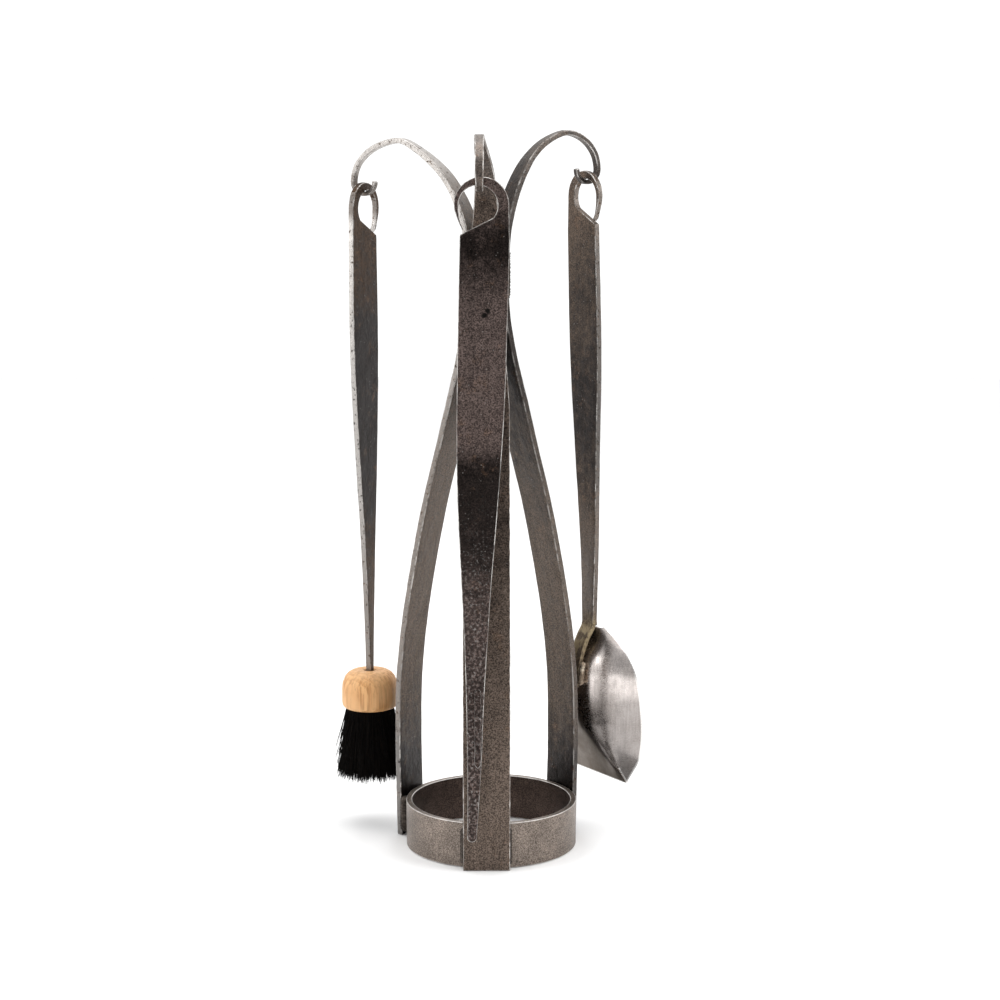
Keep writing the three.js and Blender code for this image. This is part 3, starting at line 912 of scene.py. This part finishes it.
@dataclass
class Stand:
    """The three legs that run up into hooks, the ring at their feet and the welds that join them."""

    leg_edge: float = 0.0008
    ring_dent: float = 0.00012
    ring_dent_size: float = 0.016
    ring_edge: float = 0.0006
    ring_cut: float = 0.006
    ring_seed: float = 11.0
    inner_slope: float = -0.5
    crook_drop: float = 0.042
    crook_radius: float = 0.014
    crook_share: tuple[float, float] = (0.92, 0.85)
    pit_from_middle: float = 0.006
    pit_back: float = -0.017
    pit_height: float = 0.553
    faces: dict[str, float] = field(default_factory=lambda: {"front": 0.5, "left": -117.0, "right": 124.5})

    def build(self) -> None:
        """Builds every piece of the stand."""
        for seed, (side, turn) in enumerate(self.faces.items()):
            self.leg(side, math.radians(turn), seed + 1.0)
        self.ring()
        # The stand's weld beads get a near-black metal: painted shade for the dark gaps where the legs meet
        # the ring
        weld = WeldMetal("weld_metal_stand_painted_shade", metal=(0.095, 0.078, 0.066), burnt=(0.03, 0.024, 0.02)).make()
        names = [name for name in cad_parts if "weld" in name and not name.startswith("shovel")]
        for seed, name in enumerate(sorted(names)):
            WeldBead(name, Body.STAND, weld, seed=seed * 1.7).build()

    def leg(self, side: str, across: float, seed: float) -> None:
        """Builds one leg with its hook.

        Args:
            side: front, left or right.
            across: The direction of the bar's width, in radians.
            seed: Picks the hammer marks.
        """
        node = f"leg_hook_{side}"
        low, high = (Vector(corner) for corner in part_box(node))
        hook_x = {"front": low.x, "left": low.x, "right": high.x}[side]
        share_x, share_y = self.crook_share
        crook = ((hook_x * share_x, high.y * share_y, high.z - self.crook_drop), self.crook_radius)
        pit = ((low.x + high.x) / 2 + self.pit_from_middle, self.pit_back, self.pit_height)
        finishes = {
            "front": ForgedSteel(
                "steel_front_leg",
                ground=(0.118, 0.09, 0.073),
                scale_and_shade=((0.0, 0.05), (0.2, 0.22), (0.3, 0.45), (0.5, 0.6), (0.63, 0.3)),
                shining=((0.0, 0.0), (0.56, 0.0), (0.6, 0.12), (0.63, 0.2)),
                sides=((0.0, 0.25), (0.5, 0.2), (0.63, 0.25)),
                pits=(pit,),
            ),
            "left": ForgedSteel(
                "steel_left_leg",
                ground=(0.09, 0.065, 0.048),
                # The lowest rows are painted shade where the leg meets the ring
                scale_and_shade=(
                    (0.0, 1.2), (0.05, 1.1), (0.11, 0.45), (0.2, 0.2), (0.35, 0.25), (0.48, 0.6), (0.63, 0.2)
                ),
                shining=((0.0, 0.0), (0.54, 0.0), (0.575, 0.25), (0.595, 0.65), (0.63, 0.8)),
                sides=((0.0, 0.3), (0.35, 0.3), (0.5, 0.6), (0.63, 0.75)),
                burnt=(crook,),
            ),
            "right": ForgedSteel(
                "steel_right_leg",
                ground=(0.092, 0.069, 0.053),
                # The lowest rows are painted shade where the leg meets the ring
                scale_and_shade=(
                    (0.0, 1.1), (0.05, 1.0), (0.11, 0.4), (0.25, 0.25), (0.35, 0.6), (0.5, 1.0), (0.63, 0.5)
                ),
                shining=((0.0, 0.0), (0.56, 0.0), (0.6, 0.04), (0.63, 0.08)),
                sides=((0.0, 0.12), (0.3, 0.07), (0.5, 0.03), (0.63, 0.1)),
                edges=((0.0, 0.6), (0.3, 0.55), (0.5, 0.8), (0.63, 1.0)),
                burnt=(crook,),
            ),
        }
        ForgedBar(node, Body.STAND, finishes[side], across, edge=self.leg_edge, seed=seed).build()

    def ring(self) -> None:
        """Builds the ring of rolled bar."""
        centre = middle("base_ring")
        shape = welded_copy("base_ring")
        inside = shape.faces.layers.float.new(INNER_FACE)
        round_edges(shape, self.ring_edge)
        slice_along(shape, UP, self.ring_cut)
        hammer(shape, self.ring_dent, self.ring_dent_size, self.ring_seed)
        shape.normal_update()
        # Faces turned towards the ring's middle are marked for the inner face's painted shade
        for face in shape.faces:
            away = face.calc_center_median() - centre
            away.z = 0
            face[inside] = 1.0 if face.normal.dot(away.normalized()) < self.inner_slope else 0.0
        material = RolledSteel("steel_ring").make()
        piece = finish_piece("base_ring_rolled", shape, material, Body.STAND, ["base_ring"])
        even_shading(piece)


@dataclass
class Poker:
    """The poker: a wide tapering blade with a rolled eye and a small barb near its tip."""

    across: float = math.radians(0.5)
    pit_spots: tuple[tuple[float, float], ...] = ((0.027, 0.476), (0.0245, 0.4725))

    def build(self) -> None:
        """Builds the bar and the barb."""
        left, front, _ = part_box("poker_bar")[0]
        pits = tuple((left + inward, front, height) for inward, height in self.pit_spots)
        steel = ForgedSteel(
            "steel_poker",
            ground=(0.106, 0.079, 0.071),
            scale_and_shade=(
                (0.0, 0.4), (0.2, 0.42), (0.25, 0.5), (0.285, 0.85), (0.345, 1.0), (0.368, 0.3), (0.42, 0.2),
                (0.475, 0.3), (0.5, 0.62), (0.53, 0.95), (0.545, 0.7), (0.56, 0.3), (0.59, 0.2),
            ),
            sides=evenly(0.5),
            pocked=((0.0, 1.0), (0.16, 0.95), (0.27, 0.6), (0.3, 0.15), (0.35, 0.0)),
            pits=pits,
        )
        barb_edges = ((0.0, 1.0), (0.112, 1.0), (0.125, 0.0))
        barb_steel = replace(steel, name="steel_barb", edges=barb_edges, pits=())
        ForgedBar("poker_bar", Body.POKER, steel, self.across, seed=21).build()
        ForgedBar("poker_barb", Body.POKER, barb_steel, self.across, edge=0.0004, cut=0.003, seed=22).build()


@dataclass
class Brush:
    """The brush: a tapering handle, a turned wooden head and a full bundle of black bristles."""

    across: float = math.radians(-117)
    eye_drop: float = 0.02
    eye_radius: float = 0.012
    head_edge: float = 0.0004
    pith: tuple[float, float] = (0.019, 0.024)
    strands: int = 2700
    strays: int = 130
    strand_radius: float = 0.00027
    strand_steps: int = 5
    strand_wander: float = 0.0012
    strand_bend: tuple[float, float] = (0.9, 1.6)
    strand_taper: float = 0.45
    fan: tuple[float, float] = (0.9, 1.0)
    lengths: tuple[float, float, float] = (0.86, 1.05, 1.0)
    stray_lengths: tuple[float, float] = (0.5, 0.92)
    stray_reach: float = 0.0035
    swerve: float = 0.05
    tuft_size: float = 0.0042
    tuft_spread: float = 0.09
    tuft_length: float = 0.08
    tuft_swerve: float = 0.16
    root_share: float = 0.83
    root_inset: float = 0.0015
    core_share: float = 0.84
    core_radii: tuple[float, float] = (0.8, 0.88)
    core_sides: int = 36
    seed: int = 7

    def build(self) -> None:
        """Builds the handle, the head and the bristles."""
        low, high = (Vector(corner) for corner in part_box("brush_handle"))
        eye = (high.x, low.y, high.z - self.eye_drop)
        steel = ForgedSteel(
            "steel_brush_handle",
            ground=(0.056, 0.032, 0.018),
            scale_and_shade=((0.0, 0.3), (0.2, 0.3), (0.26, 0.6), (0.34, 1.05), (0.42, 1.0), (0.5, 0.45), (0.58, 0.3)),
            shining=((0.0, 0.08), (0.12, 0.08), (0.2, 0.05), (0.26, 0.0)),
            sides=((0.0, 0.3), (0.2, 0.35), (0.3, 0.6), (0.54, 0.9), (0.55, 0.3), (0.63, 0.2)),
            burnt=((eye, self.eye_radius),),
            grain=1000,
        )
        ForgedBar("brush_handle", Body.BRUSH, steel, self.across, seed=31).build()
        self.head()
        self.bristles()

    def head(self) -> None:
        """Builds the turned head."""
        centre = middle("brush_head")
        pith_x, pith_y = self.pith
        wood = TurnedWood("turned_head_wood", pith=(centre.x + pith_x, centre.y + pith_y, 0))
        shape = welded_copy("brush_head")
        round_edges(shape, self.head_edge)
        shape.faces.layers.float.remove(shape.faces.layers.float.get(EDGE_WEAR_AND_HIGHLIGHT))
        piece = finish_piece(
            "brush_head_turned", shape, wood.make(), Body.BRUSH, ["brush_head"]
        )
        even_shading(piece)

    def bristles(self) -> None:
        """Builds the bundle: a dark core inside thousands of separate strands with ragged ends."""
        low, high = (Vector(corner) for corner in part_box("brush_bristles"))
        axis = (low + high) / 2
        root_low, root_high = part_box("brush_head")
        root_radius = (root_high[0] - root_low[0]) / 2 * self.root_share
        end_radius = (high.x - low.x) / 2
        top, bottom = high.z, low.z
        draw = random.Random(self.seed)
        curve = bpy.data.curves.new("bristle_strands", "CURVE")
        curve.dimensions = "3D"
        curve.bevel_depth = self.strand_radius
        curve.bevel_resolution = 0
        curve.use_fill_caps = True
        for index in range(self.strands + self.strays):
            stray = index >= self.strands
            share = 1.0 if stray else math.sqrt((index + 0.5) / self.strands)
            turn = index * GOLDEN_ANGLE
            root = share * root_radius
            tuft = Vector((math.cos(turn), math.sin(turn), 0)) * root / self.tuft_size
            clump = noise.noise(tuft + Vector((3, 5, 7)))
            spread = share * end_radius * draw.uniform(*self.fan) * (1 + self.tuft_spread * clump)
            spread += draw.uniform(0, self.stray_reach) if stray else 0
            part = draw.uniform(*self.stray_lengths) if stray else draw.triangular(*self.lengths)
            length = (top - bottom) * part
            length *= 1 - self.tuft_length * abs(noise.noise(tuft * 1.7 + Vector((9, 1, 4))))
            swerve = draw.uniform(-self.swerve, self.swerve)
            swerve += self.tuft_swerve * noise.noise(tuft + Vector((1, 8, 2)))
            self.strand(curve, draw, Vector((axis.x, axis.y, top)), (turn, swerve), (root, spread), length)
        holder = bpy.data.objects.new("bristle_strands", curve)
        mesh = bpy.data.meshes.new_from_object(holder)
        bpy.data.objects.remove(holder)
        shape = bmesh.new()
        shape.from_mesh(mesh)
        bpy.data.meshes.remove(mesh)
        bpy.data.curves.remove(curve)
        self.core(shape, axis, top, bottom, root_radius, end_radius)
        finish_piece(
            "brush_bristle_strands", shape, BristleFibre("black_bristle").make(), Body.BRUSH,
            ["brush_bristles"],
        )

    def strand(
        self,
        curve: bpy.types.Curve,
        draw: random.Random,
        start: Vector,
        turns: tuple[float, float],
        reaches: tuple[float, float],
        length: float,
    ) -> None:
        """Adds one strand, which leaves the head straight and then leans out.

        Args:
            curve: The curve that gathers the strands.
            draw: The random numbers.
            start: The middle of the bundle's top.
            turns: The strand's place round the bundle and how far it swerves, in radians.
            reaches: Its distance from the middle at the top and at its end, in metres.
            length: Its length downwards, in metres.
        """
        spline = curve.splines.new("POLY")
        spline.points.add(self.strand_steps)
        wander = Vector((draw.uniform(-1, 1), draw.uniform(-1, 1), 0)) * self.strand_wander
        bend = draw.uniform(*self.strand_bend)
        (turn, swerve), (root, spread) = turns, reaches
        for index, point in enumerate(spline.points):
            share = index / self.strand_steps
            reach = root + (spread - root) * share**bend
            angle = turn + swerve * share
            sway = wander * math.sin(share * math.pi * 1.4)
            spot = start + sway + Vector((reach * math.cos(angle), reach * math.sin(angle), 0))
            spot.z += self.root_inset - (length + self.root_inset) * share
            point.co = (*spot, 1)
            point.radius = 1.0 - self.strand_taper * share**3

    def core(
        self, shape: bmesh.types.BMesh, axis: Vector, top: float, bottom: float, root: float, end: float
    ) -> None:
        """Adds the closed dark cone that stops light passing between the strands.

        Args:
            shape: The strands' shape, which gets the core.
            axis: A place on the bundle's axis.
            top: The bundle's top.
            bottom: The bundle's bottom.
            root: The bundle's radius at the top.
            end: The bundle's radius at the bottom.
        """
        depth = (top - bottom) * self.core_share
        end_share, root_share = self.core_radii
        bmesh.ops.create_cone(
            shape,
            cap_ends=True,
            segments=self.core_sides,
            radius1=end * end_share,
            radius2=root * root_share,
            depth=depth,
            matrix=Matrix.Translation((axis.x, axis.y, top - depth / 2)),
        )


@dataclass
class Shovel:
    """The shovel: a tapering handle whose tongue is welded down the outside of a raised pan."""

    across: float = math.radians(124.5)
    heat_above: float = 0.02
    heat_radius: float = 0.036
    rim_round: float = 0.0006
    smoothing: int = 2
    ripple_low: float = 0.114
    ripple_high: float = 0.136
    ripple_pitch: float = 0.0062
    ripple_depth: float = 0.0003
    ripple_reach: float = 0.03
    flat_start: float = 0.93
    flat_match: float = 0.985
    lip_above: float = 0.012
    join_angle: float = math.radians(25)
    join_shape: float = math.radians(60)

    def build(self) -> None:
        """Builds the handle, the pan and its two welds."""
        tongue = tuple(middle("shovel_weld_a") + UP * self.heat_above)
        steel = ForgedSteel(
            "steel_shovel_handle",
            ground=(0.096, 0.069, 0.051),
            scale_and_shade=((0.0, 0.5), (0.2, 0.35), (0.26, 0.35), (0.36, 0.8), (0.46, 0.6), (0.58, 0.3)),
            shining=((0.0, 0.0), (0.19, 0.0), (0.2, 0.12), (0.24, 0.1), (0.3, 0.0)),
            sides=((0.0, 0.0), (0.18, 0.0), (0.22, 0.15), (0.63, 0.2)),
            edges=((0.0, 0.2), (0.17, 0.25), (0.2, 1.0), (0.63, 1.0)),
            tempered=((tongue, self.heat_radius),),
        )
        ForgedBar("shovel_handle", Body.SHOVEL, steel, self.across, seed=41).build()
        self.pan()
        weld = WeldMetal("weld_metal_shovel", metal=(0.62, 0.54, 0.43)).make()
        for seed, side in enumerate("ab"):
            WeldBead(f"shovel_weld_{side}", Body.SHOVEL, weld, seed=50.0 + seed).build()

    def pan(self) -> None:
        """Builds the pan, smoothed, with mallet ripples near its outer rim."""
        high = Vector(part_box("shovel_pan")[1])
        shape = bmesh.new()
        shape.from_mesh(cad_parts["shovel_pan"].data)
        bmesh.ops.remove_doubles(shape, verts=shape.verts, dist=MERGE_DISTANCE)
        bmesh.ops.join_triangles(
            shape,
            faces=shape.faces,
            angle_face_threshold=self.join_angle,
            angle_shape_threshold=self.join_shape,
        )
        round_edges(shape, self.rim_round)
        self.mark_flat(shape)
        push_out(shape, lambda spot: self.ripple(spot, high.x))
        piece = finish_piece(
            "shovel_pan_raised", shape, PolishedPan("polished_pan").make(), Body.SHOVEL,
            ["shovel_pan"],
        )
        subdivide(piece, self.smoothing)

    def mark_flat(self, shape: bmesh.types.BMesh) -> None:
        """Marks the flat triangle behind the lip, for its painted shade and rougher finish.

        Args:
            shape: The pan's shape.
        """
        flat = shape.verts.layers.float.new(LIP_FLAT)
        shape.normal_update()
        above_lip = middle("shovel_pan")
        above_lip.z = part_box("shovel_pan")[0][2] + self.lip_above
        lip = min(shape.faces, key=lambda face: (face.calc_center_median() - above_lip).length)
        for vert in shape.verts:
            match = (abs(vert.normal.dot(lip.normal)) - self.flat_start) / (self.flat_match - self.flat_start)
            vert[flat] = min(1.0, max(0.0, match))

    def ripple(self, spot: Vector, rim_x: float) -> float:
        """How far the short level mallet marks in the cheek, near its outer rim, stand out at a spot.

        Args:
            spot: A place on the pan.
            rim_x: Where the rim reaches furthest out.

        Returns:
            The distance in metres.
        """
        centre_height = (self.ripple_low + self.ripple_high) / 2
        half = (self.ripple_high - self.ripple_low) / 2
        upright = max(0.0, 1 - abs(spot.z - centre_height) / half)
        outer = max(0.0, 1 - (rim_x - spot.x) / self.ripple_reach)
        wave = math.sin(spot.z / self.ripple_pitch * math.tau)
        return self.ripple_depth * wave * min(1.0, 2 * upright) * min(1.0, 2 * outer)


@dataclass
class Studio:
    """The camera, the soft lights, the white surround and the pale floor."""

    camera_place: Place = (0.0103, -1.8221, 0.600)
    camera_pitch: float = math.radians(80.84)
    lens: float = 77.22
    sight: float = 50.0
    floor_size: float = 8.0
    surround: float = 1.0
    dark_front: float = 0.3
    front_reach: tuple[float, float] = (-0.95, -0.1)
    floor_tones: tuple[Colour, Colour] = ((0.93, 0.93, 0.93), (0.95, 0.95, 0.95))
    exposure: float = 0.24

    def build(self) -> None:
        """Builds the whole studio."""
        self.camera()
        self.world()
        self.floor()
        self.softbox("overhead_light", (0, 0.1, 2.4), (0, 0, 0), (2.4, 2.0), 24)
        self.softbox("left_light", (-2.1, -0.5, 0.9), (0, -90, 14), (0.9, 1.8), 9)
        self.softbox("right_light", (1.9, -0.4, 1.35), (0, 66, -12), (0.9, 1.5), 11)
        view = bpy.context.scene.view_settings
        view.view_transform = "Standard"
        view.look = "None"
        view.exposure = self.exposure

    def camera(self) -> None:
        """Sets the camera up in front of the poker."""
        data = bpy.data.cameras.new("camera")
        data.lens = self.lens
        data.clip_end = self.sight
        camera = bpy.data.objects.new("camera", data)
        camera.location = self.camera_place
        camera.rotation_euler = (self.camera_pitch, 0, 0)
        bpy.context.scene.collection.objects.link(camera)
        bpy.context.scene.camera = camera

    def world(self) -> None:
        """Makes a white surround that is darker in front of the object, as an unlit studio is."""
        world = bpy.data.worlds.new("studio")
        bpy.context.scene.world = world
        world.use_nodes = True
        nodes, links = world.node_tree.nodes, world.node_tree.links
        background = nodes["Background"]
        split = nodes.new("ShaderNodeSeparateXYZ")
        links.new(nodes.new("ShaderNodeTexCoord").outputs["Generated"], split.inputs[0])
        front = nodes.new("ShaderNodeMapRange")
        front.interpolation_type = "SMOOTHSTEP"
        for name, number in zip(RANGE_SOCKETS, (*self.front_reach, 0, 1)):
            front.inputs[name].default_value = number
        links.new(split.outputs["Y"], front.inputs["Value"])
        seen = nodes.new("ShaderNodeLightPath").outputs["Is Camera Ray"]
        share = nodes.new("ShaderNodeMath")
        share.operation = "MAXIMUM"
        links.new(front.outputs["Result"], share.inputs[0])
        links.new(seen, share.inputs[1])
        mix = nodes.new("ShaderNodeMix")
        mix.data_type = "RGBA"
        links.new(share.outputs[0], mix.inputs["Factor"])
        mix.inputs[6].default_value = (self.dark_front, self.dark_front, self.dark_front, 1)
        mix.inputs[7].default_value = (self.surround, self.surround, self.surround, 1)
        links.new(mix.outputs[2], background.inputs["Color"])

    def floor(self) -> None:
        """Lays the pale floor under the object."""
        shape = bmesh.new()
        bmesh.ops.create_grid(shape, x_segments=1, y_segments=1, size=self.floor_size / 2)
        mesh = bpy.data.meshes.new("floor")
        shape.to_mesh(mesh)
        shape.free()
        paint = Paint("pale_floor")
        tone = paint.blend(paint.span(paint.cloud(3), 0.3, 0.7), *self.floor_tones)
        mesh.materials.append(paint.dress(Base_Color=tone, Roughness=0.9, Specular_IOR_Level=0.1))
        floor = bpy.data.objects.new("floor", mesh)
        floor.location.z = cad_low.z - FLOOR_GAP
        bpy.context.scene.collection.objects.link(floor)

    def softbox(self, name: str, place: Place, turn: Place, size: tuple[float, float], power: float) -> None:
        """Adds one broad soft light.

        Args:
            name: The light's name.
            place: Its place, in metres.
            turn: Its turn about each axis, in degrees.
            size: Its width and height, in metres.
            power: Its power, in watts.
        """
        data = bpy.data.lights.new(name, "AREA")
        data.shape = "RECTANGLE"
        data.size, data.size_y = size
        data.energy = power
        light = bpy.data.objects.new(name, data)
        light.location = place
        light.rotation_euler = [math.radians(angle) for angle in turn]
        light.visible_camera = False
        bpy.context.scene.collection.objects.link(light)


def main() -> None:
    """Builds the studio and the four sub-assemblies in order."""
    logging.basicConfig(level=logging.INFO, format="%(message)s")
    Studio().build()
    for assembly in (Stand(), Poker(), Brush(), Shovel()):
        assembly.build()


if __name__ == "__main__":
    main()
